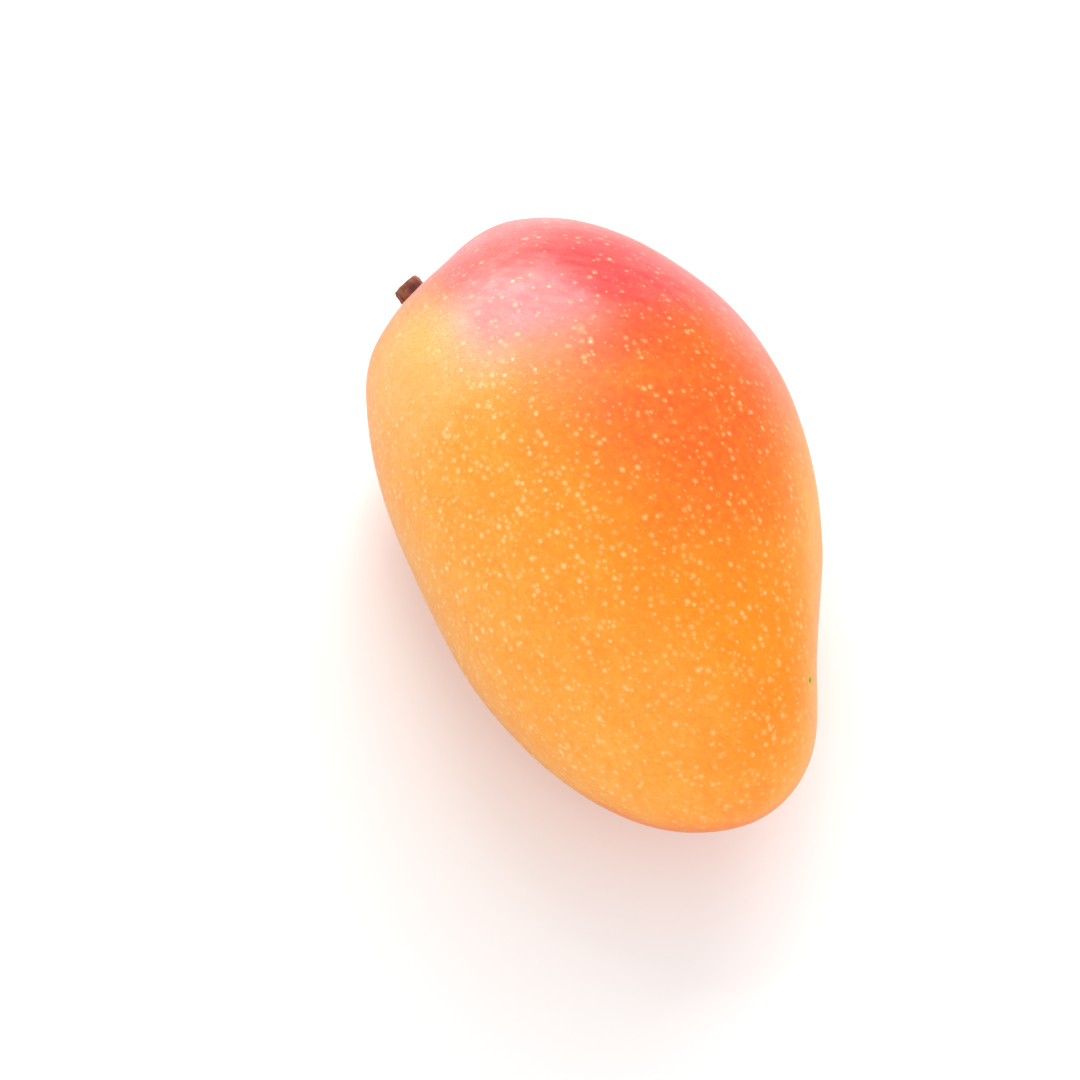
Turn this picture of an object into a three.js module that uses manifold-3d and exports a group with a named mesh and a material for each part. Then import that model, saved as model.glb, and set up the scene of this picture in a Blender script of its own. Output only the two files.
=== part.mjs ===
// A ripe mango lying on its broad side, with the cut stub of its stalk.
//
// Millimetres, +Z up. +Y points to the stalk end and +X to the edge that carries the beak. The
// origin lies in the small flat spot that the fruit rests on, straight below its centre of mass.
//
// The fruit is first made about its own seed: a point of the skin is found from a unit direction,
// whose y is the station u, -1 at the tip and 1 at the stalk end. It is then laid down to rest.

import * as THREE from 'three';
import { mergeVertices } from 'three/addons/utils/BufferGeometryUtils.js';
import Module from 'manifold-3d';

// The fruit. half is half of the size at the middle station. taper makes the stalk half larger than
// the tip half by that much at each end, and blunt fills out both ends.
const HALF_LENGTH = 62.5;
const WIDTH = { half: 38.5, taper: 6, blunt: 2 };
const THICKNESS = { half: 34, taper: 3 };
const SKIN_SQUARES = 20; // along each side of the cube that the skin is rounded from

// The sideways bend of the long axis, none at its two ends. shift is the bend at the middle station,
// lean sets the stalk half over, sag bends both halves one way and twist bends the stalk half more.
const BOW = { shift: -1.5, lean: 2, sag: -10, twist: -8 };

// Soft hollows in the skin, and a swell, whose depth is below zero. turn is the angle from the stalk
// end towards the beaked edge, lift the angle up towards the cheek on top, both in degrees. spread is
// the angle over which one fades.
const STALK_BASIN = { turn: -24, lift: 10, depth: 2.5, spread: 8 };
const STALK_SWELL = { turn: -40, lift: 15, depth: -0.5, spread: 10 };
const FLAT_FLANK = { turn: -65, lift: 0, depth: 0.5, spread: 20 };
const FLAT_CROWN = { turn: 30, lift: 15, depth: 0.5, spread: 12 };
const BEAK_SINUS = { turn: 128, lift: 0, depth: 2.2, spread: 12 };
const DENTS = [STALK_BASIN, STALK_SWELL, FLAT_FLANK, FLAT_CROWN, BEAK_SINUS];

// The stub of the stalk, a stout cylinder with a worn rim, which leans a little in its seat.
const STUB = { radius: 2.6, height: 3.8, sunk: 1.5, worn: 0.5, turn: -22, lift: 18, sides: 24 };
const SEAT_GAP = 0.3;

// How the fruit lies. It rolls, in degrees, until its centre of mass is above where it touches.
const REST = { pitch: 2, roll: -6 };
const FLAT_SPOT_DEPTH = 0.5; // how far the skin is pressed in where the fruit rests

const SKIN = new THREE.MeshStandardMaterial({ color: 0xf9952f, roughness: 0.4, metalness: 0 });
const BARK = new THREE.MeshStandardMaterial({ color: 0x7a4630, roughness: 0.9, metalness: 0 });

const radians = THREE.MathUtils.degToRad;

/** How far the long axis is bent sideways at a station. */
function bend(u) {
  const along = BOW.shift + BOW.lean * u + BOW.sag * u ** 2 + BOW.twist * u ** 3;
  return along * (1 - u ** 2);
}

/** The unit direction at two angles, in degrees, from the stalk end. */
function direction({ turn, lift }) {
  const level = Math.cos(radians(lift));
  const sideways = Math.sin(radians(turn)) * level;
  const endways = Math.cos(radians(turn)) * level;
  return new THREE.Vector3(sideways, endways, Math.sin(radians(lift)));
}

/** How far a dent pushes the skin in, along the dent's own direction. */
function dentPush(towards, dent) {
  const centre = direction(dent);
  const away = towards.angleTo(centre) / radians(dent.spread);
  return centre.multiplyScalar(-dent.depth * Math.exp(-away * away / 2));
}

/** The point of the skin in one direction, about the seed. */
function skinPoint(towards) {
  const u = towards.y;
  const halfWidth = WIDTH.half + WIDTH.taper * u + WIDTH.blunt * u ** 2;
  const halfThickness = THICKNESS.half + THICKNESS.taper * u;
  const point = new THREE.Vector3(
    halfWidth * towards.x + bend(u),
    HALF_LENGTH * u,
    halfThickness * towards.z,
  );
  for (const dent of DENTS) point.add(dentPush(towards, dent));
  return point;
}

/** Moves every vertex of a geometry to where change puts it. */
function reshape(geometry, change) {
  const places = geometry.attributes.position;
  for (let i = 0; i < places.count; i += 1) {
    const moved = change(new THREE.Vector3().fromBufferAttribute(places, i));
    places.setXYZ(i, moved.x, moved.y, moved.z);
  }
  return geometry;
}

/** A geometry whose triangles share their corners, with nothing left but positions. */
function welded(geometry) {
  geometry.deleteAttribute('normal');
  geometry.deleteAttribute('uv');
  return mergeVertices(geometry, 1e-6);
}

/** The whole skin about the seed, rounded from a cube so that its squares are nearly even. */
function skinAboutSeed() {
  const cube = welded(new THREE.BoxGeometry(2, 2, 2, SKIN_SQUARES, SKIN_SQUARES, SKIN_SQUARES));
  const even = (value) => Math.tan(value * Math.PI / 4);
  return reshape(cube, ({ x, y, z }) => (
    skinPoint(new THREE.Vector3(even(x), even(y), even(z)).normalize())
  ));
}

/** The centre of mass of the solid inside a closed geometry. */
function centreOfMass(geometry) {
  const places = geometry.attributes.position;
  const corner = (i) => new THREE.Vector3().fromBufferAttribute(places, geometry.index.getX(i));
  const sum = new THREE.Vector3();
  let volume = 0;
  for (let i = 0; i < geometry.index.count; i += 3) {
    const [a, b, c] = [corner(i), corner(i + 1), corner(i + 2)];
    const share = a.dot(b.clone().cross(c)) / 6;
    volume += share;
    sum.addScaledVector(a.add(b).add(c), share / 4);
  }
  return sum.divideScalar(volume);
}

/** The move that lays the fruit down, with its lowest point under the floor by the flat spot. */
function layingDown(skin) {
  const centre = centreOfMass(skin);
  const rolled = new THREE.Matrix4()
    .makeRotationX(radians(REST.pitch))
    .multiply(new THREE.Matrix4().makeRotationY(radians(REST.roll)))
    .multiply(new THREE.Matrix4().makeTranslation(-centre.x, -centre.y, -centre.z));
  const lying = reshape(skin.clone(), (point) => point.applyMatrix4(rolled));
  lying.computeBoundingBox();
  const raise = -lying.boundingBox.min.z - FLAT_SPOT_DEPTH;
  return new THREE.Matrix4().makeTranslation(0, 0, raise).multiply(rolled);
}

/** The skin as it lies, with whatever would be under the floor pressed flat onto it. */
function lyingSkin(skin, lay) {
  return reshape(skin.clone(), (point) => {
    point.applyMatrix4(lay);
    point.z = Math.max(point.z, 0);
    return point;
  });
}

/** A round peg about the stub's axis as the fruit lies, from corners of radius and height over the skin. */
function peg(corners, lay) {
  const outline = corners.map(([radius, height]) => new THREE.Vector2(radius, height));
  const axis = new THREE.Quaternion()
    .setFromUnitVectors(new THREE.Vector3(0, 1, 0), direction(STUB));
  const base = skinPoint(direction(STALK_BASIN));
  const place = new THREE.Matrix4().compose(base, axis, new THREE.Vector3(1, 1, 1)).premultiply(lay);
  return welded(new THREE.LatheGeometry(outline, STUB.sides)).applyMatrix4(place);
}

/** A closed geometry as a solid that can be cut. */
function solid(wasm, geometry) {
  const vertProperties = new Float32Array(geometry.attributes.position.array);
  const triVerts = new Uint32Array(geometry.index.array);
  return new wasm.Manifold(new wasm.Mesh({ numProp: 3, vertProperties, triVerts }));
}

/** A cut solid as a geometry again. */
function geometryOf(cut) {
  const { vertProperties, triVerts } = cut.getMesh();
  const geometry = new THREE.BufferGeometry();
  geometry.setAttribute('position', new THREE.BufferAttribute(vertProperties, 3));
  geometry.setIndex(new THREE.BufferAttribute(triVerts, 1));
  return geometry;
}

/** A mesh that goes by its piece's name. */
function named(name, geometry, material) {
  geometry.computeVertexNormals();
  const mesh = new THREE.Mesh(geometry, material);
  mesh.name = name;
  return mesh;
}

/** The fruit, with the seat that its stub sits in. */
function makeFruit(wasm, skin, lay) {
  const bore = STUB.radius + SEAT_GAP;
  const floor = -STUB.sunk - SEAT_GAP;
  const seat = peg([[0, floor], [bore, floor], [bore, STUB.height], [0, STUB.height]], lay);
  const cut = solid(wasm, lyingSkin(skin, lay)).subtract(solid(wasm, seat));
  return named('fruit', geometryOf(cut), SKIN);
}

/** The stub of the stalk. */
function makeStub(lay) {
  const corners = [
    [0, -STUB.sunk],
    [STUB.radius, -STUB.sunk],
    [STUB.radius, STUB.height - STUB.worn],
    [STUB.radius - STUB.worn, STUB.height],
    [0, STUB.height],
  ];
  return named('stem_stub', peg(corners, lay), BARK);
}

const wasm = await Module();
wasm.setup();

const skin = skinAboutSeed();
const lay = layingDown(skin);

const mango = new THREE.Group();
mango.add(makeFruit(wasm, skin, lay), makeStub(lay));

export default mango;
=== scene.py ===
"""A ripe mango lying on its cheek, with the cut stub of its stalk.

Lengths are in millimetres inside the classes and become metres where a mesh or a material is made.
The fruit is shaped about its own seed: +Y runs to the stalk end, +X to the edge that carries the
beak and +Z to the upper cheek. It is then laid down into the frame, where it rests on the floor.
"""

import logging
import math
from dataclasses import dataclass, field
from enum import Enum
from typing import Callable, Union

import bmesh
import bpy
from mathutils import Matrix, Vector, noise


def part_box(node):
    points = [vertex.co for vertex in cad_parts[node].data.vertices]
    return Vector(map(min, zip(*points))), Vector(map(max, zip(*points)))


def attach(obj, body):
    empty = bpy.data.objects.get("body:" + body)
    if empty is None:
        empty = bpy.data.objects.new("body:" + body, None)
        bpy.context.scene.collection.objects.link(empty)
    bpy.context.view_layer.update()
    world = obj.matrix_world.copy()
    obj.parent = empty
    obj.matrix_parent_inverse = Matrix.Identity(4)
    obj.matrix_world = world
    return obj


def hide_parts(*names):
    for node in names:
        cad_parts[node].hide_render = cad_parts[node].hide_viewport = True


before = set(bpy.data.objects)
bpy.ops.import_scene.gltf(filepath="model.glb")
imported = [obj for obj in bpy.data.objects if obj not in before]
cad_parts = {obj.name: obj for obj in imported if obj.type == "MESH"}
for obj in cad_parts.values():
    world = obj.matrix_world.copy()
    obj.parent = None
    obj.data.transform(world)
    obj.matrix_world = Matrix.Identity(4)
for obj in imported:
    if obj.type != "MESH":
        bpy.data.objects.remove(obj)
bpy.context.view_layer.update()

MM = 0.001
Triple = tuple[float, float, float]
Colour = Triple
Socket = bpy.types.NodeSocket
Node = bpy.types.Node
Piece = bpy.types.Object
Feed = Union[Socket, float, tuple[float, ...]]
log = logging.getLogger("mango")


# ---- Meshes ----


def bell(distance: float, reach: float) -> float:
    """Falls smoothly from 1 at no distance towards 0, over the given reach."""
    return math.exp(-0.5 * (distance / reach) ** 2)


def rounded(corner: Vector) -> Vector:
    """Moves a point of a cube of side 2 onto the unit ball, so that its squares stay nearly even."""
    return Vector(math.tan(value * math.pi / 4.0) for value in corner).normalized()


def even_directions(squares: int) -> list[Vector]:
    """Lists the directions through the corners of a squared cube.

    Args:
        squares: How many squares the cube has along each side.

    Returns:
        Unit directions, nearly evenly spread.
    """
    steps = [2.0 * i / squares - 1.0 for i in range(squares + 1)]
    corners = [Vector((a, b, c)) for a in steps for b in steps for c in steps]
    return [rounded(corner) for corner in corners if max(map(abs, corner)) == 1.0]


def finished(mesh: bmesh.types.BMesh, name: str) -> Piece:
    """Turns a mesh that is in place, in metres, into a smooth-shaded object.

    Args:
        mesh: The mesh, which is freed.
        name: The piece's name.

    Returns:
        The new object, at the origin.
    """
    for face in mesh.faces:
        face.smooth = True
    data = bpy.data.meshes.new(name)
    mesh.to_mesh(data)
    mesh.free()
    piece = bpy.data.objects.new(name, data)
    bpy.context.scene.collection.objects.link(piece)
    return piece


# ---- Node sheets ----


PLAIN_DETAIL = 2.0  # how many finer clouds are laid on plain noise
MIDDLE_NOISE = (0.5, 0.5, 0.5)  # what coloured noise is on average


class Sheet:
    """A node tree that is being filled.

    Attributes:
        tree: The tree.
    """

    def __init__(self, tree: bpy.types.NodeTree) -> None:
        """Takes the tree that is to be filled."""
        self.tree = tree

    def add(self, kind: str, inputs: Union[dict[str, Feed], None] = None, **settings: object) -> Node:
        """Adds a node.

        Args:
            kind: The node's type, without the words Shader Node.
            inputs: What its inputs are fed, by name.
            settings: Properties of the node.

        Returns:
            The new node.
        """
        node = self.tree.nodes.new("ShaderNode" + kind)
        for name, value in settings.items():
            setattr(node, name, value)
        self.fill(node, inputs or {})
        return node

    def fill(self, node: Node, inputs: dict[str, Feed]) -> None:
        """Feeds some of a node's inputs."""
        for name, value in inputs.items():
            self.feed(node.inputs[name], value)

    def feed(self, socket: Socket, value: Feed) -> None:
        """Links an output to a socket, or sets a plain value on it.

        Args:
            socket: The input that is fed.
            value: An output, a number, a vector or a colour.
        """
        if isinstance(value, Socket):
            self.tree.links.new(value, socket)
        elif socket.type == "RGBA":
            socket.default_value = (*value, 1.0)
        else:
            socket.default_value = value

    def reckon(self, kind: str, operation: str, terms: tuple[Feed, ...]) -> Node:
        """Adds a node that does one sum.

        Args:
            kind: Math or VectorMath.
            operation: The sum.
            terms: What goes into it, in order.

        Returns:
            The new node.
        """
        node = self.add(kind, operation=operation)
        for socket, term in zip(node.inputs, terms):
            self.feed(socket, term)
        return node

    def math(self, operation: str, *terms: Feed) -> Socket:
        """Does a sum on numbers."""
        return self.reckon("Math", operation, terms).outputs[0]

    def times(self, value: Feed, by: Feed) -> Socket:
        """Multiplies two numbers."""
        return self.math("MULTIPLY", value, by)

    def vector(self, operation: str, *terms: Feed) -> Socket:
        """Does a sum on vectors that gives a vector."""
        return self.reckon("VectorMath", operation, terms).outputs["Vector"]

    def measured(self, operation: str, *terms: Feed) -> Socket:
        """Does a sum on vectors that gives a number, such as a length or a dot product."""
        return self.reckon("VectorMath", operation, terms).outputs["Value"]

    def scaled(self, vector: Feed, by: Feed) -> Socket:
        """Multiplies a vector by a number."""
        return self.add("VectorMath", {"Vector": vector, "Scale": by}, operation="SCALE").outputs["Vector"]

    def remap(self, value: Feed, low: Feed, high: Feed, to: tuple[float, float] = (0.0, 1.0)) -> Socket:
        """Moves a number smoothly from one range to another.

        Args:
            value: The number.
            low: Where the result starts.
            high: Where the result ends, which may be below low.
            to: The result at low and at high.

        Returns:
            The result.
        """
        ends = {"From Min": low, "From Max": high, "To Min": to[0], "To Max": to[1]}
        node = self.add("MapRange", {"Value": value, **ends}, interpolation_type="SMOOTHSTEP")
        return node.outputs["Result"]

    def mix(self, factor: Feed, under: Feed, over: Feed, blend: str = "MIX") -> Socket:
        """Lays one colour over another.

        Args:
            factor: How much of the upper colour shows.
            under: The colour below.
            over: The colour above.
            blend: How the two are put together.

        Returns:
            The mixed colour.
        """
        node = self.add("Mix", data_type="RGBA", blend_type=blend)
        sockets = {socket.identifier: socket for socket in node.inputs}
        self.feed(sockets["Factor_Float"], factor)
        self.feed(sockets["A_Color"], under)
        self.feed(sockets["B_Color"], over)
        return next(socket for socket in node.outputs if socket.identifier == "Result_Color")

    def vary(self, cloud: Feed, colour: Feed, low: Colour, high: Colour) -> Socket:
        """Multiplies a colour by low where a cloud is 0, and by high where it is 1."""
        return self.mix(1.0, colour, self.mix(cloud, low, high), "MULTIPLY")

    def stretched(self, takes: dict[str, Socket]) -> Socket:
        """Counts a place in lumps, which may be longer along an axis than across it.

        Args:
            takes: A group's inputs, with Vector, Axis, Across and Along, which are lengths.

        Returns:
            The place, in lumps.
        """
        far = self.measured("DOT_PRODUCT", takes["Vector"], takes["Axis"])
        lengthways = self.scaled(takes["Axis"], far)
        across = self.vector("SUBTRACT", takes["Vector"], lengthways)
        across = self.scaled(across, self.math("DIVIDE", 1.0, takes["Across"]))
        lengthways = self.scaled(lengthways, self.math("DIVIDE", 1.0, takes["Along"]))
        return self.vector("ADD", across, lengthways)

    def noise(self, vector: Feed, size: float, detail: float = PLAIN_DETAIL) -> Node:
        """Adds noise, at a place in metres, with lumps of a size in millimetres."""
        inputs = {"Vector": vector, "Scale": 1.0 / (size * MM), "Detail": detail}
        return self.add("TexNoise", inputs, noise_dimensions="3D")

    def drift(self, vector: Feed, size: float, reach: float) -> Socket:
        """Moves a place about, so that what is laid out by it is ragged: size and reach in millimetres."""
        way = self.vector("SUBTRACT", self.noise(vector, size).outputs["Color"], MIDDLE_NOISE)
        return self.vector("ADD", vector, self.scaled(way, reach * MM))

    def apply(self, effect: "Effect", **values: Feed) -> dict[str, Socket]:
        """Places a shared effect and feeds its inputs.

        Args:
            effect: The effect.
            values: What each input is fed, by its name.

        Returns:
            The effect's outputs, by name.
        """
        node = self.add("Group", node_tree=effect.tree())
        self.fill(node, values)
        return {socket.name: socket for socket in node.outputs}


@dataclass(frozen=True)
class Effect:
    """A group of nodes that several finishes share.

    Attributes:
        name: The group's name.
        takes: Its inputs and their socket types.
        gives: Its outputs and their socket types.
        fill: Fills a new sheet, from its inputs to its outputs.
    """

    name: str
    takes: dict[str, str]
    gives: dict[str, str]
    fill: Callable[[Sheet, dict[str, Socket], dict[str, Socket]], None]

    def tree(self) -> bpy.types.NodeTree:
        """Finds the group's tree, which the first finish that needs it builds.

        Returns:
            The tree.
        """
        made = bpy.data.node_groups.get(self.name)
        if made is not None:
            return made
        tree = bpy.data.node_groups.new(self.name, "ShaderNodeTree")
        for name, kind in self.takes.items():
            tree.interface.new_socket(name, in_out="INPUT", socket_type="NodeSocket" + kind)
        for name, kind in self.gives.items():
            tree.interface.new_socket(name, in_out="OUTPUT", socket_type="NodeSocket" + kind)
        start, end = tree.nodes.new("NodeGroupInput"), tree.nodes.new("NodeGroupOutput")
        takes = {name: start.outputs[name] for name in self.takes}
        gives = {name: end.inputs[name] for name in self.gives}
        self.fill(Sheet(tree), takes, gives)
        return tree


LUMPS = {"Vector": "Vector", "Axis": "Vector", "Across": "Float", "Along": "Float"}
DISORDER = 0.92  # how far dots stray from even rows
SMALLEST_DOT = 0.6  # as a share of the largest
FAINTEST_DOT = 0.45  # as a share of the strongest
HEART_SHARE = 0.4  # of a dot's radius
CLOUD_DETAIL = 3.0  # how many finer clouds are laid on a cloud


def fill_speckles(sheet: Sheet, takes: dict[str, Socket], gives: dict[str, Socket]) -> None:
    """Scatters soft round dots of mixed sizes and strengths.

    Args:
        sheet: The group's sheet.
        takes: Vector, Axis, the spacing Across and Along it, Radius as a share of the spacing,
            Softness, and Share, which is the share of the dots that show.
        gives: Spot, and Heart, which is its small middle.
    """
    inputs = {"Vector": sheet.stretched(takes), "Scale": 1.0, "Randomness": DISORDER}
    cells = sheet.add("TexVoronoi", inputs, voronoi_dimensions="3D", feature="F1")
    chance = sheet.add("SeparateColor", {"Color": cells.outputs["Color"]})
    size, present, strength = chance.outputs
    radius = sheet.times(takes["Radius"], sheet.remap(size, 0.0, 1.0, (SMALLEST_DOT, 1.0)))
    edge = sheet.times(radius, sheet.math("SUBTRACT", 1.0, takes["Softness"]))
    shown = sheet.math("LESS_THAN", present, takes["Share"])
    shown = sheet.times(shown, sheet.remap(strength, 0.0, 1.0, (FAINTEST_DOT, 1.0)))
    heart = sheet.times(radius, HEART_SHARE)
    away = cells.outputs["Distance"]
    sheet.feed(gives["Spot"], sheet.times(shown, sheet.remap(away, radius, edge)))
    sheet.feed(gives["Heart"], sheet.times(shown, sheet.remap(away, heart, 0.0)))


SPECKLES = Effect(
    "speckles",
    {**LUMPS, "Radius": "Float", "Softness": "Float", "Share": "Float"},
    {"Spot": "Float", "Heart": "Float"},
    fill_speckles,
)


def fill_mottle(sheet: Sheet, takes: dict[str, Socket], gives: dict[str, Socket]) -> None:
    """Makes clouds, or streaks if the lumps are long or flat.

    Args:
        sheet: The group's sheet.
        takes: Vector, Axis, the lumps' size Across and Along it, and Low and High, the noise at
            which the clouds start and are full.
        gives: Cloud.
    """
    inputs = {"Vector": sheet.stretched(takes), "Scale": 1.0, "Detail": CLOUD_DETAIL}
    cloud = sheet.add("TexNoise", inputs, noise_dimensions="3D").outputs["Fac"]
    sheet.feed(gives["Cloud"], sheet.remap(cloud, takes["Low"], takes["High"]))


MOTTLE = Effect("mottle", {**LUMPS, "Low": "Float", "High": "Float"}, {"Cloud": "Float"}, fill_mottle)


def fill_soft_patch(sheet: Sheet, takes: dict[str, Socket], gives: dict[str, Socket]) -> None:
    """Marks the inside of a soft egg, which is full in its Core, a share of its Reach."""
    away = sheet.vector("DIVIDE", sheet.vector("SUBTRACT", takes["Vector"], takes["Centre"]), takes["Reach"])
    sheet.feed(gives["Mask"], sheet.remap(sheet.measured("LENGTH", away), 1.0, takes["Core"]))


SOFT_PATCH = Effect(
    "soft_patch",
    {"Vector": "Vector", "Centre": "Vector", "Reach": "Vector", "Core": "Float"},
    {"Mask": "Float"},
    fill_soft_patch,
)


@dataclass(frozen=True)
class Lumps:
    """The lumps of a cloud of noise, which are streaks if they are long or flat.

    Attributes:
        across: Their size across their axis, in millimetres.
        along: Their size along it.
        start: The noise at which they start.
        full: The noise at which they are full.
    """

    across: float
    along: float
    start: float = 0.3
    full: float = 0.7


class Coat(Sheet):
    """The material of a piece.

    Attributes:
        material: The material.
        shader: Its shader.
        place: The place on the piece, in metres.
    """

    def __init__(self, name: str) -> None:
        """Starts the material of that name."""
        self.material = bpy.data.materials.new(name)
        self.material.use_nodes = True
        super().__init__(self.material.node_tree)
        self.shader = self.tree.nodes["Principled BSDF"]
        self.place = self.add("TexCoord").outputs["Object"]

    def sizes(self, across: float, along: float, axis: Triple) -> dict[str, Feed]:
        """Gives the inputs for lumps of two sizes, in millimetres, across and along their axis."""
        unit = tuple(Vector(axis).normalized())
        return {"Vector": self.place, "Axis": unit, "Across": across * MM, "Along": along * MM}

    def cloud(self, lumps: Lumps, axis: Triple) -> Socket:
        """Lays a cloud of lumps about their axis, and gives where they are."""
        sizes = self.sizes(lumps.across, lumps.along, axis)
        return self.apply(MOTTLE, **sizes, Low=lumps.start, High=lumps.full)["Cloud"]

    def patch(self, place: Socket, centre: Vector, reach: Triple, core: float) -> Socket:
        """Marks a patch, which reaches so far along each axis and is full in its core's share of that."""
        inside = {"Centre": tuple(centre * MM), "Reach": tuple(length * MM for length in reach)}
        return self.apply(SOFT_PATCH, Vector=place, **inside, Core=core)["Mask"]

    def relief(self, height: Feed, step: float) -> None:
        """Bumps the surface by a height in steps, each so many millimetres high."""
        bump = self.add("Bump", {"Strength": 1.0, "Distance": step * MM, "Height": height})
        self.feed(self.shader.inputs["Normal"], bump.outputs["Normal"])

    def lay(self, piece: Piece, colour: Feed, roughness: Feed) -> None:
        """Feeds the shader its colour and roughness, and lays the material on a piece."""
        self.fill(self.shader, {"Base Color": colour, "Roughness": roughness})
        piece.data.materials.append(self.material)


# ---- The fruit ----


@dataclass(frozen=True)
class Girth:
    """Half of the fruit's width or thickness, along its length.

    Attributes:
        half: Half of the size at the middle station, in millimetres.
        taper: How much more the stalk end has, and the tip has less.
        blunt: How much both ends are filled out.
    """

    half: float
    taper: float
    blunt: float = 0.0

    def at(self, u: float) -> float:
        """Gives the half size at a station."""
        return self.half + self.taper * u + self.blunt * u * u


@dataclass(frozen=True)
class Bow:
    """The sideways bend of the fruit's long axis, in millimetres, none at its two ends.

    Attributes:
        shift: The bend at the middle station.
        lean: How far the stalk half is set over.
        sag: How far both halves bend one way.
        twist: How much more the stalk half bends.
    """

    shift: float
    lean: float
    sag: float
    twist: float

    def at(self, u: float) -> float:
        """Gives the bend at a station."""
        along = self.shift + self.lean * u + self.sag * u**2 + self.twist * u**3
        return along * (1.0 - u**2)


@dataclass(frozen=True)
class Spot:
    """A named spot on the skin.

    Attributes:
        name: What it is.
        turn: Degrees from the stalk end towards the beaked edge.
        lift: Degrees up towards the upper cheek.
    """

    name: str
    turn: float
    lift: float

    def way(self) -> Vector:
        """Gives the unit direction of the spot from the seed."""
        level = math.cos(math.radians(self.lift))
        turn = math.radians(self.turn)
        return Vector((math.sin(turn) * level, math.cos(turn) * level, math.sin(math.radians(self.lift))))


@dataclass(frozen=True)
class Dent(Spot):
    """A soft hollow in the skin, or a swell if its depth is below zero.

    Attributes:
        depth: How far the skin is pushed in, in millimetres.
        spread: The angle over which the dent fades, in degrees.
    """

    depth: float
    spread: float

    def push(self, towards: Vector) -> Vector:
        """Finds how far the dent pushes the skin in a unit direction from the seed, in millimetres."""
        away = math.degrees(towards.angle(self.way()))
        return self.way() * (-self.depth * bell(away, self.spread))


@dataclass(frozen=True)
class Waves:
    """Uneven waves in a surface.

    Attributes:
        height: How high they are, in millimetres.
        size: How large they are, in millimetres.
    """

    height: float
    size: float

    def at(self, point: Vector) -> float:
        """Gives their height at a point."""
        return self.height * noise.noise(point / self.size)


@dataclass(frozen=True)
class Knoll(Spot):
    """A low swelling of the skin, or a dip if its height is below zero.

    Attributes:
        height: How high it is, in millimetres.
        reach: How far it spreads, in millimetres.
    """

    height: float
    reach: float

    def rise(self, away: float) -> float:
        """Gives how high the skin is raised at a distance from the middle, in millimetres."""
        return self.height * bell(away, self.reach)


KNOLLS = (
    Knoll("flank below the stalk", -53, 6, -0.5, 7),
    Knoll("lip below the stalk", -29, 20, 0.2, 3),
    Knoll("dip beside the stalk", -15, 20, -0.35, 4),
    Knoll("crest of the shoulder", 0, 16, 0.4, 4.5),
    Knoll("far flank", 65, 10, 0.25, 8),
    Knoll("lower flank", -118, -5, -0.25, 10),
    Knoll("under the tip", -150, -8, 0.3, 8),
)


# The shape of a mark: shares of its radius, and for the height of the rim a share of its depth.
RIM_RADIUS = 1.7
RIM_WIDTH = 0.5
RIM_HEIGHT = 0.35
PIT_WIDTH = 0.6


@dataclass(frozen=True)
class Scar(Spot):
    """A small round mark on the skin: a pit with a rim, or a fleck.

    Attributes:
        radius: The radius of the middle, in millimetres.
        depth: How deep the middle is, in millimetres.
        heart: The colour of the middle.
        rim: The colour around it.
        strength: How much the colours cover the skin.
    """

    radius: float
    depth: float
    heart: Colour
    rim: Colour
    strength: float = 0.8

    def height(self, away: float) -> float:
        """Gives the height of the skin at a distance from the mark's middle, in millimetres."""
        rim = RIM_HEIGHT * bell(away - RIM_RADIUS * self.radius, RIM_WIDTH * self.radius)
        return self.depth * (rim - bell(away, PIT_WIDTH * self.radius))


SCARS = (
    Scar("beak", 140, 18, 0.7, 0.35, (0.1, 0.07, 0.01), (0.6, 0.5, 0.06), 0.9),
    Scar("scab", 20, 65, 0.65, 0.12, (0.86, 0.2, 0.08), (0.9, 0.26, 0.08), 0.6),
    Scar("nick", 25, 68, 0.35, 0.1, (0.95, 0.7, 0.55), (0.94, 0.35, 0.14), 0.7),
    Scar("crimson fleck", 30, 60, 0.42, 0, (0.78, 0.03, 0.05), (0.88, 0.1, 0.06), 0.9),
    Scar("old pore", -45, 60, 0.3, 0.12, (0.8, 0.36, 0.1), (0.97, 0.66, 0.38), 0.85),
    Scar("red fleck", -35, 60, 0.28, 0, (0.72, 0.12, 0.06), (0.9, 0.3, 0.12), 0.8),
    Scar("stalk fleck", -25, 50, 0.4, 0, (0.8, 0.22, 0.14), (0.92, 0.36, 0.2), 0.7),
    Scar("wide pore", 0, 50, 0.25, 0.06, (0.85, 0.25, 0.12), (0.96, 0.6, 0.3), 0.9),
    Scar("first ring pore", -25, 65, 0.22, 0.04, (0.85, 0.3, 0.1), (0.97, 0.68, 0.4), 0.85),
    Scar("second ring pore", -35, 65, 0.22, 0.04, (0.85, 0.3, 0.1), (0.97, 0.68, 0.4), 0.85),
    Scar("third ring pore", -20, 70, 0.2, 0.04, (0.85, 0.3, 0.1), (0.97, 0.68, 0.4), 0.8),
    Scar("first brown dot", 165, 75, 0.16, 0, (0.5, 0.12, 0.01), (0.8, 0.25, 0.01), 0.9),
    Scar("second brown dot", -175, 75, 0.14, 0, (0.5, 0.12, 0.01), (0.8, 0.25, 0.01), 0.8),
    Scar("third brown dot", 155, 65, 0.14, 0, (0.5, 0.12, 0.01), (0.8, 0.25, 0.01), 0.8),
    Scar("brown ring", 125, 60, 0.25, 0.04, (0.9, 0.36, 0.1), (0.62, 0.16, 0.02), 0.6),
    Scar("grey fleck", 115, 60, 0.3, 0, (0.35, 0.18, 0.06), (0.75, 0.26, 0.03), 0.8),
)


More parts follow.
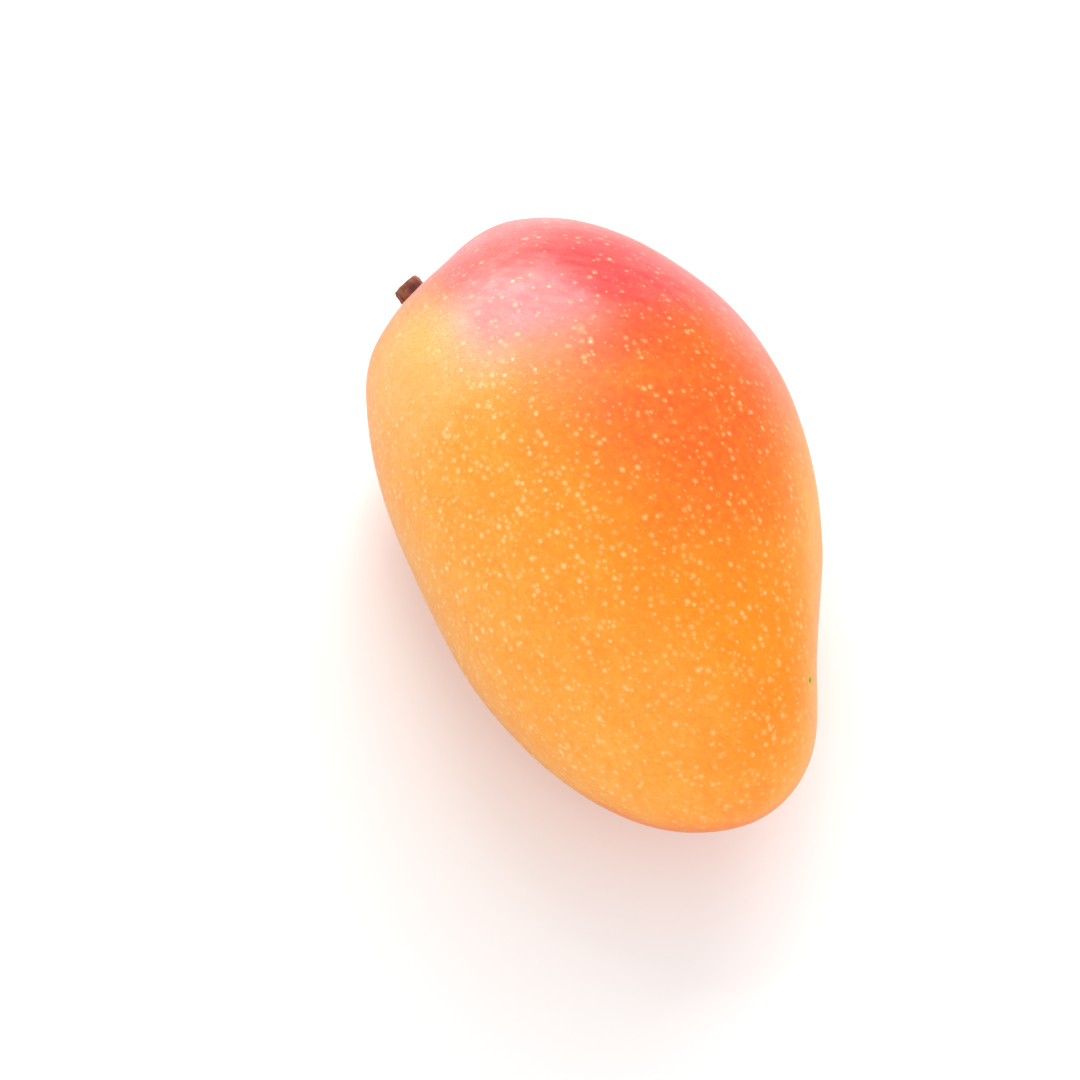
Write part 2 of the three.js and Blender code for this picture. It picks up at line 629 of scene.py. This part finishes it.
@dataclass
class Fruit:
    """The whole fruit: its skin, the basin that its stalk grew from, and the scar of its beak.

    width and thickness are half sizes. The swell and the flat flank lie beside the basin, the flat crown
    beyond it and the sinus behind the beak. pitch and roll say how the fruit leans along and across its
    length, in degrees. squares is how many squares the skin has along each side of the cube that it is
    rounded from, and plain_squares how many the plain solid in the frame has. softened says how gently
    the skin meets the floor. The collar is the ring of skin round the stalk, and fold_reach says how
    far from the stalk the folds fade. shift lays the fruit in its place in the frame, and stalk_place
    is the bottom of the basin.
    """

    half_length: float = 62.5
    width: Girth = Girth(half=38.5, taper=6.0, blunt=2.0)
    thickness: Girth = Girth(half=34.0, taper=3.0)
    bow: Bow = Bow(shift=-1.5, lean=2.0, sag=-10.0, twist=-8.0)
    basin: Dent = Dent("basin", turn=-24.0, lift=10.0, depth=2.5, spread=8.0)
    swell: Dent = Dent("swell", turn=-40.0, lift=15.0, depth=-0.5, spread=10.0)
    flat_flank: Dent = Dent("flat flank", turn=-65.0, lift=0.0, depth=0.5, spread=20.0)
    flat_crown: Dent = Dent("flat crown", turn=30.0, lift=15.0, depth=0.5, spread=12.0)
    sinus: Dent = Dent("sinus", turn=128.0, lift=0.0, depth=2.2, spread=12.0)
    pitch: float = 2.0
    roll: float = -6.0
    squares: int = 116
    plain_squares: int = 20
    softened: float = 0.3
    waves: Waves = Waves(height=0.2, size=17.0)
    ripples: Waves = Waves(height=0.06, size=5.5)
    collar: float = 0.4
    collar_radius: float = 3.3
    collar_width: float = 0.7
    folds: Waves = Waves(height=0.12, size=1.4)
    fold_reach: float = 6.0
    shift: Vector = field(init=False)
    stalk_place: Vector = field(init=False)
    scar_places: list[tuple[Scar, Vector]] = field(init=False)
    knoll_places: list[tuple[Knoll, Vector]] = field(init=False)

    def __post_init__(self) -> None:
        """Finds the shift that puts the turned fruit in the frame's own box, and the places on it."""
        low, high = (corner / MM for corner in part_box("fruit"))
        ways = even_directions(self.plain_squares)
        plain = [self.turned() @ self.skin_point(towards) for towards in ways]
        least = Vector(min(point[axis] for point in plain) for axis in range(3))
        most = Vector(max(point[axis] for point in plain) for axis in range(3))
        self.shift = (low + high - least - most) / 2.0
        self.shift.z = high.z - most.z
        self.stalk_place = self.place_of(self.basin)
        self.scar_places = [(scar, self.place_of(scar)) for scar in SCARS]
        self.knoll_places = [(knoll, self.place_of(knoll)) for knoll in KNOLLS]

    def skin_point(self, towards: Vector) -> Vector:
        """Finds the plain skin in one direction from the seed, in millimetres.

        Args:
            towards: A unit direction about the seed.

        Returns:
            The point of the skin, without its fine relief.
        """
        u = towards.y
        across = self.width.at(u) * towards.x + self.bow.at(u)
        up = self.thickness.at(u) * towards.z
        point = Vector((across, self.half_length * u, up))
        for dent in (self.basin, self.swell, self.flat_flank, self.flat_crown, self.sinus):
            point += dent.push(towards)
        return point

    def turned(self) -> Matrix:
        """Gives the turn that lays the fruit down."""
        pitch = Matrix.Rotation(math.radians(self.pitch), 3, "X")
        return pitch @ Matrix.Rotation(math.radians(self.roll), 3, "Y")

    def laid(self, towards: Vector) -> Vector:
        """Gives the plain skin in one direction from the seed as the fruit lies, in millimetres."""
        return self.turned() @ self.skin_point(towards) + self.shift

    def place_of(self, spot: Spot) -> Vector:
        """Gives the place of a spot as the fruit lies, in millimetres."""
        return self.laid(spot.way())

    def relief(self, point: Vector) -> float:
        """Finds the height of the fine relief.

        Args:
            point: A point of the skin, in millimetres.

        Returns:
            The height there, in millimetres.
        """
        waves = self.waves.at(point) + self.ripples.at(point)
        pits = sum(scar.height((point - centre).length) for scar, centre in self.scar_places)
        knolls = sum(knoll.rise((point - centre).length) for knoll, centre in self.knoll_places)
        from_stalk = (point - self.stalk_place).length
        collar = self.collar * bell(from_stalk - self.collar_radius, self.collar_width)
        folds = self.folds.at(point) * bell(from_stalk, self.fold_reach)
        return waves + pits + knolls + collar + folds

    def build(self) -> Piece:
        """Makes the fruit's mesh.

        Returns:
            The fruit's object.
        """
        mesh = bmesh.new()
        bmesh.ops.create_cube(mesh, size=2.0)
        bmesh.ops.subdivide_edges(mesh, edges=mesh.edges[:], cuts=self.squares - 1, use_grid_fill=True)
        for vertex in mesh.verts:
            vertex.co = self.laid(rounded(vertex.co))
        bmesh.ops.recalc_face_normals(mesh, faces=mesh.faces[:])
        mesh.normal_update()
        moves = [vertex.normal * self.relief(vertex.co) for vertex in mesh.verts]
        for vertex, move in zip(mesh.verts, moves):
            vertex.co += move
            vertex.co.z = (vertex.co.z + math.hypot(vertex.co.z, self.softened)) / 2.0
            vertex.co *= MM
        return finished(mesh, "mango_fruit")


@dataclass(frozen=True)
class Patch(Spot):
    """A soft patch of colour on the skin.

    Attributes:
        reach: How far it reaches along the frame's X, Y and Z, in millimetres.
        core: The share of its reach that is full.
        colour: Its colour.
    """

    reach: Triple
    core: float
    colour: Colour


# The ways that lumps lie: along the fruit, aslant over its crest, and flat, where an upright axis
# is their short one.
ENDWAYS = (0.42, -0.88, -0.22)
SLANTING = (0.65, -0.74, -0.2)
UPRIGHT = (0.0, 0.0, 1.0)


@dataclass(frozen=True)
class Cloud:
    """A zero-mean tint of the skin.

    Attributes:
        name: What it stands for.
        across: The size of its lumps across their axis, in millimetres.
        along: Their size along it.
        low: What the colour is multiplied by in half of the lumps.
        high: What it is multiplied by in the others.
        axis: The axis of the lumps.
        within: The patch that it stays in, or nothing for the whole skin.
    """

    name: str
    across: float
    along: float
    low: Colour
    high: Colour
    axis: Triple = ENDWAYS
    within: str = ""


@dataclass(frozen=True)
class Dots:
    """A layer of dots on the skin.

    Attributes:
        name: What the layer is.
        spacing: How far the dots are from each other, in millimetres.
        radius: The radius of the largest, in millimetres.
        share: The share of the dots that show.
        colour: Their colour.
        heart: The colour of their middles.
        strength: How much they cover the skin.
        raised: How high they stand, in steps of the skin's relief.
        thinned: How much each named patch thins them out.
        stronger: How much stronger each named patch makes them, or weaker below zero.
        within: The patch that they stay in, or nothing for the whole skin.
    """

    name: str
    spacing: float
    radius: float
    share: float
    colour: Colour
    heart: Colour
    strength: float
    raised: float
    thinned: dict[str, float] = field(default_factory=dict)
    stronger: dict[str, float] = field(default_factory=dict)
    within: str = ""


# The colours of the skin, from its palest to its deepest.
CREAM: Colour = (0.98, 0.76, 0.4)
BUTTER: Colour = (0.97, 0.62, 0.25)
PEACH: Colour = (0.96, 0.45, 0.115)
AMBER: Colour = (0.96, 0.38, 0.045)
ORANGE: Colour = (0.96, 0.25, 0.004)
TANGERINE: Colour = (0.95, 0.17, 0.005)
VERMILION: Colour = (0.95, 0.12, 0.008)
FLAME: Colour = (0.94, 0.085, 0.012)
ROSE: Colour = (0.93, 0.125, 0.11)
# Partly the pink of the blush, partly a painted reflection of the pale room along the rims.
PINK_AND_RIM_REFLECTION: Colour = (0.94, 0.15, 0.155)
SCARLET: Colour = (0.92, 0.05, 0.05)


@dataclass(frozen=True)
class SkinFinish:
    """The waxy skin: orange, with a red blush over the stalk shoulder and many pale pores.

    Patches, clouds and layers of dots are laid over the ground in order. Each bend is the size and the
    reach, in millimetres, of the moves that bend the patches or the marks. A cloud starts at the noise
    cloud_start and is full at cloud_full. stretch says how much longer than wide the dots are, and
    softness how much of a dot's radius is soft. A mark's rim and heart reach so many of its radii, of
    which scar_core is full. dot_roughness is how much rougher the dots are, and gloss how strong the
    reflections are. relief_step is in millimetres, as grain_size is.
    """

    ground: Colour = ORANGE
    patches: tuple[Patch, ...] = (
        Patch("amber flank", -90, 20, (55, 80, 40), 0.2, AMBER),
        Patch("lower cheek", -140, 20, (45, 45, 30), 0.1, AMBER),
        Patch("peach flank", 105, 10, (25, 50, 25), 0.1, AMBER),
        # Partly peach skin, partly a painted soft highlight on the upper flank beside the stalk.
        Patch("peach cheek and painted highlight", -45, 40, (30, 25, 20), 0.2, PEACH),
        Patch("orange blush", 65, 55, (38, 54, 35), 0.3, VERMILION),
        Patch("far blush", 35, 5, (60, 40, 28), 0.2, VERMILION),
        Patch("gap in the blush", 50, 70, (10, 6, 6), 0, TANGERINE),
        Patch("rose crest", 5, 45, (36, 28, 35), 0.3, ROSE),
        Patch("crest sheen", 10, 50, (22, 17, 18), 0.3, ROSE),
        Patch("blush by the crest", 45, 60, (16, 14, 12), 0, FLAME),
        # Partly pink blush, partly a painted reflection along the upper rim over the beaked side.
        Patch("rose edge and rim reflection", 55, 15, (32, 48, 18), 0, PINK_AND_RIM_REFLECTION),
        # Partly pink blush, partly a painted reflection along the upper rim by the stalk shoulder.
        Patch("rose rim and rim reflection", 10, 15, (54, 22, 26), 0.1, PINK_AND_RIM_REFLECTION),
        Patch("red shoulder", 35, 40, (37, 24, 20), 0.2, SCARLET),
        Patch("yellow shoulder", -40, 40, (16, 22, 16), 0, PEACH),
        Patch("stalk lip", -30, 15, (6, 6, 6), 0, PEACH),
        # Partly amber skin, partly a painted pale highlight along the edge by the tip.
        Patch("tip edge and painted rim highlight", 160, 5, (14, 18, 15), 0, AMBER),
        Patch("beak edge", 135, 0, (15, 30, 18), 0, PEACH),
        # Painted shade: a deeper tangerine under the tip darkens the bottom edge that lies next to the
        # floor.
        Patch("under the tip", -160, -15, (34, 24, 13), 0.2, TANGERINE),
    )
    clouds: tuple[Cloud, ...] = (
        Cloud("broad clouds", 6.0, 9.0, (1.0, 0.96, 0.88), (1.0, 1.04, 1.12)),
        Cloud("mottling", 1.3, 1.8, (1.0, 0.96, 0.88), (1.0, 1.04, 1.12)),
        Cloud("threads", 0.35, 2.2, (1.0, 0.97, 0.9), (1.0, 1.03, 1.1)),
        Cloud("grain", 0.4, 0.6, (1.0, 0.94, 0.84), (1.0, 1.06, 1.16)),
        Cloud("streaks", 13.0, 1.2, (1.0, 0.7, 0.74), (1.0, 1.3, 1.26), UPRIGHT, "red shoulder"),
        Cloud("crest streaks", 1.6, 12.0, (1.0, 0.7, 0.74), (1.0, 1.3, 1.26), SLANTING, "crest sheen"),
        # Painted highlight grain: fine light and dark specks in the crest's colour, where the sheen breaks
        # up on the skin.
        Cloud("painted highlight stipple", 0.3, 0.3, (0.97, 0.76, 0.8), (1.03, 1.24, 1.2), UPRIGHT, "rose crest"),
        Cloud("blotches", 1.5, 1.5, (1.0, 0.88, 0.85), (1.0, 1.12, 1.15), UPRIGHT, "orange blush"),
    )
    layers: tuple[Dots, ...] = (
        Dots("shoulder pores", 3.0, 0.85, 0.6, BUTTER, PEACH, 0.75, 0.7, within="rose crest"),
        Dots("large pores", 1.4, 0.76, 0.95, BUTTER, CREAM, 0.5, 0.7,
             {"orange blush": 0.5, "yellow shoulder": 0.9, "rose crest": 0.75, "lower cheek": 0.4},
             {"amber flank": 0.9, "orange blush": -0.1}),
        Dots("small pores", 1.15, 0.42, 0.65, BUTTER, CREAM, 0.5, 0.4,
             {"yellow shoulder": 0.8, "rose crest": 0.5},
             {"amber flank": 0.4, "orange blush": -0.2, "lower cheek": 0.4}),
        # Partly small raised flecks of the skin, partly painted glints in their pale colour.
        Dots("white flecks and painted glints", 2.0, 0.22, 0.4, PEACH, CREAM, 0.7, 0.3),
        Dots("brown flecks", 4.6, 0.3, 0.35, (0.7, 0.18, 0.02), (0.42, 0.1, 0.01), 0.8, 0.0),
    )
    broad_bend: tuple[float, float] = (15.0, 5.0)
    fine_bend: tuple[float, float] = (3.5, 1.2)
    scar_bend: tuple[float, float] = (0.6, 0.35)
    cloud_start: float = 0.35
    cloud_full: float = 0.65
    stretch: float = 1.15
    softness: float = 0.85
    rim_reach: float = 2.3
    heart_reach: float = 1.1
    scar_core: float = 0.2
    roughness: float = 0.33
    dot_roughness: float = 0.1
    gloss: float = 0.4
    grain_size: float = 0.35
    grain_detail: float = 3.0
    relief_step: float = 0.045

    def lay_patches(self, coat: Coat, fruit: Fruit) -> tuple[Feed, dict[str, Socket]]:
        """Lays the soft patches over the ground.

        Args:
            coat: The skin's material.
            fruit: The fruit, which places the patches.

        Returns:
            The colour, and each patch's mask by its name.
        """
        ragged = coat.drift(coat.drift(coat.place, *self.broad_bend), *self.fine_bend)
        colour: Feed = self.ground
        masks: dict[str, Socket] = {}
        for patch in self.patches:
            mask = coat.patch(ragged, fruit.place_of(patch), patch.reach, patch.core)
            colour = coat.mix(mask, colour, patch.colour)
            masks[patch.name] = mask
        return colour, masks

    def lay_dots(
        self, coat: Coat, colour: Feed, masks: dict[str, Socket], dots: Dots,
    ) -> tuple[Socket, Socket]:
        """Lays one layer of dots over the skin.

        Args:
            coat: The skin's material.
            colour: The skin's colour so far.
            masks: Each patch's mask, by its name.
            dots: The layer.

        Returns:
            The colour, and the layer's spots.
        """
        share, strength = dots.share, dots.strength
        for name, amount in dots.thinned.items():
            share = coat.times(share, coat.math("MULTIPLY_ADD", masks[name], -amount, 1.0))
        for name, amount in dots.stronger.items():
            gained = coat.math("MULTIPLY_ADD", masks[name], amount, 1.0)
            strength = coat.times(strength, gained)
        if dots.within:
            strength = coat.times(strength, masks[dots.within])
        spots = coat.apply(
            SPECKLES,
            **coat.sizes(dots.spacing, self.stretch * dots.spacing, ENDWAYS),
            Radius=dots.radius / dots.spacing,
            Softness=self.softness,
            Share=share,
        )
        tone = coat.mix(spots["Heart"], dots.colour, dots.heart)
        return coat.mix(coat.times(spots["Spot"], strength), colour, tone), spots["Spot"]

    def mark_scars(self, coat: Coat, colour: Feed, fruit: Fruit) -> Feed:
        """Colours the marks.

        Args:
            coat: The skin's material.
            colour: The skin's colour so far.
            fruit: The fruit, which knows where its marks are.

        Returns:
            The colour.
        """
        ragged = coat.drift(coat.place, *self.scar_bend)
        for scar, centre in fruit.scar_places:
            for reach, tone in ((self.rim_reach, scar.rim), (self.heart_reach, scar.heart)):
                mask = coat.patch(ragged, centre, (reach * scar.radius,) * 3, self.scar_core)
                colour = coat.mix(coat.times(mask, scar.strength), colour, tone)
        return colour

    def dress(self, piece: Piece, fruit: Fruit) -> None:
        """Dresses the fruit.

        Args:
            piece: The fruit's object.
            fruit: The fruit, which places the patches and the marks.
        """
        coat = Coat("skin")
        colour, masks = self.lay_patches(coat, fruit)
        for tint in self.clouds:
            lumps = Lumps(tint.across, tint.along, self.cloud_start, self.cloud_full)
            tinted = coat.vary(coat.cloud(lumps, tint.axis), colour, tint.low, tint.high)
            colour = coat.mix(masks[tint.within], colour, tinted) if tint.within else tinted
        relief: Feed = coat.noise(coat.place, self.grain_size, self.grain_detail).outputs["Fac"]
        bright: Feed = 0.0
        for dots in self.layers:
            colour, spots = self.lay_dots(coat, colour, masks, dots)
            relief = coat.math("MULTIPLY_ADD", spots, dots.raised, relief)
            bright = coat.math("MAXIMUM", bright, spots)
        coat.feed(coat.shader.inputs["Specular IOR Level"], self.gloss)
        coat.relief(relief, self.relief_step)
        rough = coat.math("MULTIPLY_ADD", bright, self.dot_roughness, self.roughness)
        coat.lay(piece, self.mark_scars(coat, colour, fruit), rough)


# ---- The stub of the stalk ----


@dataclass
class StemStub:
    """The cut stub of the stalk.

    It stands height over the bottom of the basin and goes sunk into the fruit. points is the spot that
    its axis would point at from the seed. The bark has ridges and lumps, whose rates say how fast they
    change round the stub, and up it per millimetre. The knot swells the side that faces one way in the
    frame, the foot flares out, the rim is worn down and the cut end has dried hollow, each within its
    reach. cut_rings are the widths of the rings of faces on the cut end, from the rim in.
    """

    fruit: Fruit
    radius: float = 2.68
    height: float = 3.75
    sunk: float = 1.4
    points: Spot = Spot("stub axis", turn=-22.0, lift=18.0)
    knot: float = 0.35
    knot_faces: Triple = (-0.9, -0.34, -0.28)
    knot_reach: float = 1.0
    ridge: float = 0.13
    ridge_rate: tuple[float, float] = (2.6, 0.3)
    lump: float = 0.16
    lump_rate: tuple[float, float] = (1.3, 0.9)
    flare: float = 0.3
    flare_reach: float = 0.8
    worn: float = 0.2
    worn_reach: float = 0.22
    hollow: float = 0.3
    hollow_reach: float = 0.5
    hollow_rate: float = 1.1
    cut_rings: tuple[float, ...] = (0.3, 0.5, 0.6, 0.5)
    sides: int = 56
    rings: int = 16

    def axis(self) -> Vector:
        """Gives the direction it points in, in the frame."""
        return self.fruit.turned() @ self.points.way()

    def standing(self) -> Matrix:
        """Gives the turn that points an upright peg along the stub's axis."""
        return self.axis().to_track_quat("Z", "Y").to_matrix()

    def knot_side(self) -> Vector:
        """Gives the side of an upright peg that bears the knot."""
        return (self.standing().transposed() @ Vector(self.knot_faces)).normalized()

    def rough(self, around: Vector, up: float, rate: tuple[float, float]) -> float:
        """Gives the noise of the bark on one side, at a height, which changes at a rate."""
        return noise.noise(Vector((around.x * rate[0], around.y * rate[0], up * rate[1])))

    def weathered(self, point: Vector) -> Vector:
        """Moves a point of a plain peg to where the bark puts it.

        Args:
            point: A point of the peg, in millimetres, with the cut end up.

        Returns:
            The point of the bark.
        """
        out = math.hypot(point.x, point.y)
        share = out / self.radius
        around = Vector((point.x, point.y, 0.0)).normalized() if out > 0.0 else Vector()
        ridges = self.ridge * self.rough(around, point.z, self.ridge_rate)
        lumps = self.lump * self.rough(around, point.z, self.lump_rate)
        flare = self.flare * bell(point.z, self.flare_reach)
        facing = max(around.dot(self.knot_side()), 0.0)
        knot = self.knot * bell(point.z - self.height / 2.0, self.knot_reach) * facing**2
        worn = self.worn * bell(self.height - point.z, self.worn_reach) * share**3
        top = bell(self.height - point.z, self.hollow_reach)
        dried = self.hollow * (1.0 - share**2) + self.lump * noise.noise(point * self.hollow_rate)
        out_by = share * (ridges + lumps + flare + knot) - worn
        return point + around * out_by - Vector((0.0, 0.0, top * dried))

    def build(self) -> Piece:
        """Makes the stub's mesh.

        Returns:
            The stub's object.
        """
        mesh = bmesh.new()
        bmesh.ops.create_cone(
            mesh, cap_ends=True, segments=self.sides, radius1=self.radius, radius2=self.radius,
            depth=self.height + self.sunk,
        )
        middle = (self.height - self.sunk) / 2.0
        bmesh.ops.translate(mesh, vec=(0.0, 0.0, middle), verts=mesh.verts[:])
        rise = {edge: abs(edge.verts[0].co.z - edge.verts[1].co.z) for edge in mesh.edges}
        upright = [edge for edge in mesh.edges if rise[edge] > self.height]
        bmesh.ops.subdivide_edges(mesh, edges=upright, cuts=self.rings - 1)
        for width in self.cut_rings:
            heights = {face: (face.calc_center_median().z, len(face.verts)) for face in mesh.faces}
            cut_end = max(heights, key=heights.get)
            bmesh.ops.inset_region(mesh, faces=[cut_end], thickness=width)
        for vertex in mesh.verts:
            vertex.co = self.weathered(vertex.co)
        bmesh.ops.recalc_face_normals(mesh, faces=mesh.faces[:])
        base = self.fruit.stalk_place
        in_place = Matrix.Scale(MM, 4) @ Matrix.Translation(base) @ self.standing().to_4x4()
        bmesh.ops.transform(mesh, matrix=in_place, verts=mesh.verts[:])
        return finished(mesh, "stem_stub_bark")


@dataclass(frozen=True)
class BarkFinish:
    """The dry bark of the stub, with its pale cut end.

    furrow is the colour between the fibres, and scuff that of the scuffed places and of the rim away
    from the knot. The grain multiplies the colour by something from grain_low to grain_high. The
    colours of the foot and the rim reach patch_reach, of which patch_core is full. scuff_roughness
    is how much rougher the scuffs are.
    """

    bark: Colour = (0.3, 0.075, 0.03)
    furrow: Colour = (0.11, 0.026, 0.015)
    scuff: Colour = (0.36, 0.17, 0.1)
    foot: Colour = (0.09, 0.02, 0.015)
    fibres: Lumps = Lumps(0.9, 2.2, full=0.6)
    scuffs: Lumps = Lumps(1.8, 1.4, start=0.5)
    grain: Lumps = Lumps(0.3, 0.3)
    scuff_strength: float = 0.4
    grain_low: Colour = (0.85, 0.8, 0.8)
    grain_high: Colour = (1.15, 1.2, 1.2)
    patch_reach: float = 2.4
    patch_core: float = 0.1
    roughness: float = 0.75
    scuff_roughness: float = 0.1
    relief_step: float = 0.08

    def dress(self, piece: Piece, stub: StemStub) -> None:
        """Dresses the stub.

        Args:
            piece: The stub's object.
            stub: The stub's sizes, which give the fibres their axis.
        """
        coat = Coat("stub_bark")
        axis = tuple(stub.axis())
        fibres, scuffs, grain = (coat.cloud(lumps, axis) for lumps in (self.fibres, self.scuffs, self.grain))
        colour = coat.mix(fibres, self.furrow, self.bark)
        colour = coat.mix(coat.times(scuffs, self.scuff_strength), colour, self.scuff)
        rim = stub.fruit.stalk_place + stub.axis() * stub.height
        away_from_knot = Vector(stub.knot_faces).normalized() * -stub.radius
        foot = stub.fruit.stalk_place + stub.axis() + Vector((0.0, 0.0, stub.radius))
        for centre, tone in ((foot, self.foot), (rim + away_from_knot, self.scuff)):
            mask = coat.patch(coat.place, centre, (self.patch_reach,) * 3, self.patch_core)
            colour = coat.mix(mask, colour, tone)
        coat.relief(coat.math("ADD", fibres, grain), self.relief_step)
        rough = coat.math("MULTIPLY_ADD", scuffs, self.scuff_roughness, self.roughness)
        coat.lay(piece, coat.vary(grain, colour, self.grain_low, self.grain_high), rough)


# ---- The studio ----


class LampUse(Enum):
    """Which part of the shading a lamp takes part in."""

    MATT = "matt"
    GLOSS = "gloss"


def stand(holder: Piece, place: Vector, aim: Vector) -> None:
    """Stands a lamp or a camera in the scene, facing a point.

    Args:
        holder: The lamp's or the camera's object.
        place: Where it stands, in millimetres.
        aim: The point that it faces, in millimetres.
    """
    holder.location = place * MM
    holder.rotation_mode = "QUATERNION"
    holder.rotation_quaternion = (aim - place).to_track_quat("-Z", "Y")
    bpy.context.scene.collection.objects.link(holder)


@dataclass(frozen=True)
class SoftBox:
    """A large oval lamp, with its size in millimetres, its power in watts and its spread in degrees."""

    name: str
    place: Triple
    aim: Triple
    size: tuple[float, float]
    power: float
    use: LampUse
    spread: float = 180.0

    def hang(self) -> None:
        """Hangs the lamp in the scene."""
        lamp = bpy.data.lights.new(self.name, "AREA")
        lamp.shape = "ELLIPSE"
        lamp.size, lamp.size_y = (length * MM for length in self.size)
        lamp.energy = self.power
        lamp.spread = math.radians(self.spread)
        holder = bpy.data.objects.new(self.name, lamp)
        holder.visible_diffuse = self.use is LampUse.MATT
        holder.visible_glossy = self.use is LampUse.GLOSS
        holder.visible_camera = False
        stand(holder, Vector(self.place), Vector(self.aim))


FRUIT_MIDDLE = (0.0, 0.0, 34.0)  # where most lamps aim, in millimetres
WHITE: Colour = (1.0, 1.0, 1.0)


@dataclass
class Studio:
    """The pale floor, the soft lights and the camera.

    azimuth says how far round the camera stands from the tip's side. It aims at a point aim_height over
    the floor, moved aim_right and aim_up in the picture. What ends in in_gloss is seen in reflections.
    floor_uneven is how much rougher the floor's clouds are.
    """

    azimuth: float = -21.0
    elevation: float = 66.0
    distance: float = 556.0
    lens: float = 100.0
    sensor: float = 36.0
    nearest: float = 10.0
    aim_height: float = 35.0
    aim_right: float = -12.0
    aim_up: float = -6.5
    sky: float = 0.9
    sky_in_gloss: float = 0.25
    floor_size: float = 6000.0
    floor_colour: Colour = (0.9, 0.9, 0.9)
    floor_in_gloss: Colour = (0.6, 0.6, 0.6)
    floor_roughness: float = 0.9
    floor_uneven: float = 0.05
    floor_clouds: Lumps = Lumps(40.0, 40.0)
    lamps: tuple[SoftBox, ...] = (
        SoftBox("key", (300, 350, 420), FRUIT_MIDDLE, (400, 400), 1.5, LampUse.MATT),
        SoftBox("sheen", (-50, 510, 335), FRUIT_MIDDLE, (600, 400), 5.5, LampUse.GLOSS),
        SoftBox("fill", (-100, -530, 600), FRUIT_MIDDLE, (600, 600), 1.2, LampUse.MATT),
        SoftBox("backdrop", (60, 260, 420), (60, 260, 0), (250, 250), 0.5, LampUse.MATT,
                spread=80.0),
    )

    def hang_camera(self) -> None:
        """Sets the camera up."""
        turn, rise = math.radians(self.azimuth), math.radians(self.elevation)
        level = Vector((math.sin(turn), -math.cos(turn), 0.0))
        upwards = Vector((0.0, 0.0, 1.0))
        back = level * math.cos(rise) + upwards * math.sin(rise)
        right = Vector((math.cos(turn), math.sin(turn), 0.0))
        aim = upwards * self.aim_height + right * self.aim_right + back.cross(right) * self.aim_up
        camera = bpy.data.cameras.new("camera")
        camera.lens = self.lens
        camera.sensor_width = self.sensor
        camera.clip_start = self.nearest * MM
        holder = bpy.data.objects.new("camera", camera)
        stand(holder, aim + back * self.distance, aim)
        bpy.context.scene.camera = holder

    def lay_floor(self) -> None:
        """Lays the pale floor."""
        mesh = bmesh.new()
        bmesh.ops.create_grid(mesh, x_segments=1, y_segments=1, size=self.floor_size * MM / 2.0)
        floor = finished(mesh, "studio_floor")
        coat = Coat("pale_floor")
        in_gloss = coat.add("LightPath").outputs["Is Glossy Ray"]
        clouds = coat.cloud(self.floor_clouds, UPRIGHT)
        rough = coat.math("MULTIPLY_ADD", clouds, self.floor_uneven, self.floor_roughness)
        coat.lay(floor, coat.mix(in_gloss, self.floor_colour, self.floor_in_gloss), rough)

    def light(self) -> None:
        """Sets the white room, which is dimmer in reflections, and hangs the lamps."""
        world = bpy.data.worlds.new("white_room")
        world.use_nodes = True
        sheet = Sheet(world.node_tree)
        in_gloss = sheet.add("LightPath").outputs["Is Glossy Ray"]
        strength = sheet.math("MULTIPLY_ADD", in_gloss, self.sky_in_gloss - self.sky, self.sky)
        sheet.fill(sheet.tree.nodes["Background"], {"Color": WHITE, "Strength": strength})
        bpy.context.scene.world = world
        for lamp in self.lamps:
            lamp.hang()
        bpy.context.scene.view_settings.view_transform = "Standard"

    def build(self) -> None:
        """Sets the whole studio up."""
        self.hang_camera()
        self.lay_floor()
        self.light()


# ---- The whole mango ----


def hand_over(piece: Piece, node: str) -> None:
    """Puts a finished piece in the place of its plain solid.

    Args:
        piece: The finished piece.
        node: The solid that it stands for.
    """
    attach(piece, "root")
    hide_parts(node)
    log.info("%s: %d faces", piece.name, len(piece.data.polygons))


def main() -> None:
    """Builds the mango and its studio."""
    logging.basicConfig(level=logging.INFO, format="%(message)s")
    Studio().build()
    fruit = Fruit()
    skin = fruit.build()
    SkinFinish().dress(skin, fruit)
    hand_over(skin, "fruit")
    stub = StemStub(fruit)
    bark = stub.build()
    BarkFinish().dress(bark, stub)
    hand_over(bark, "stem_stub")


if __name__ == "__main__":
    main()
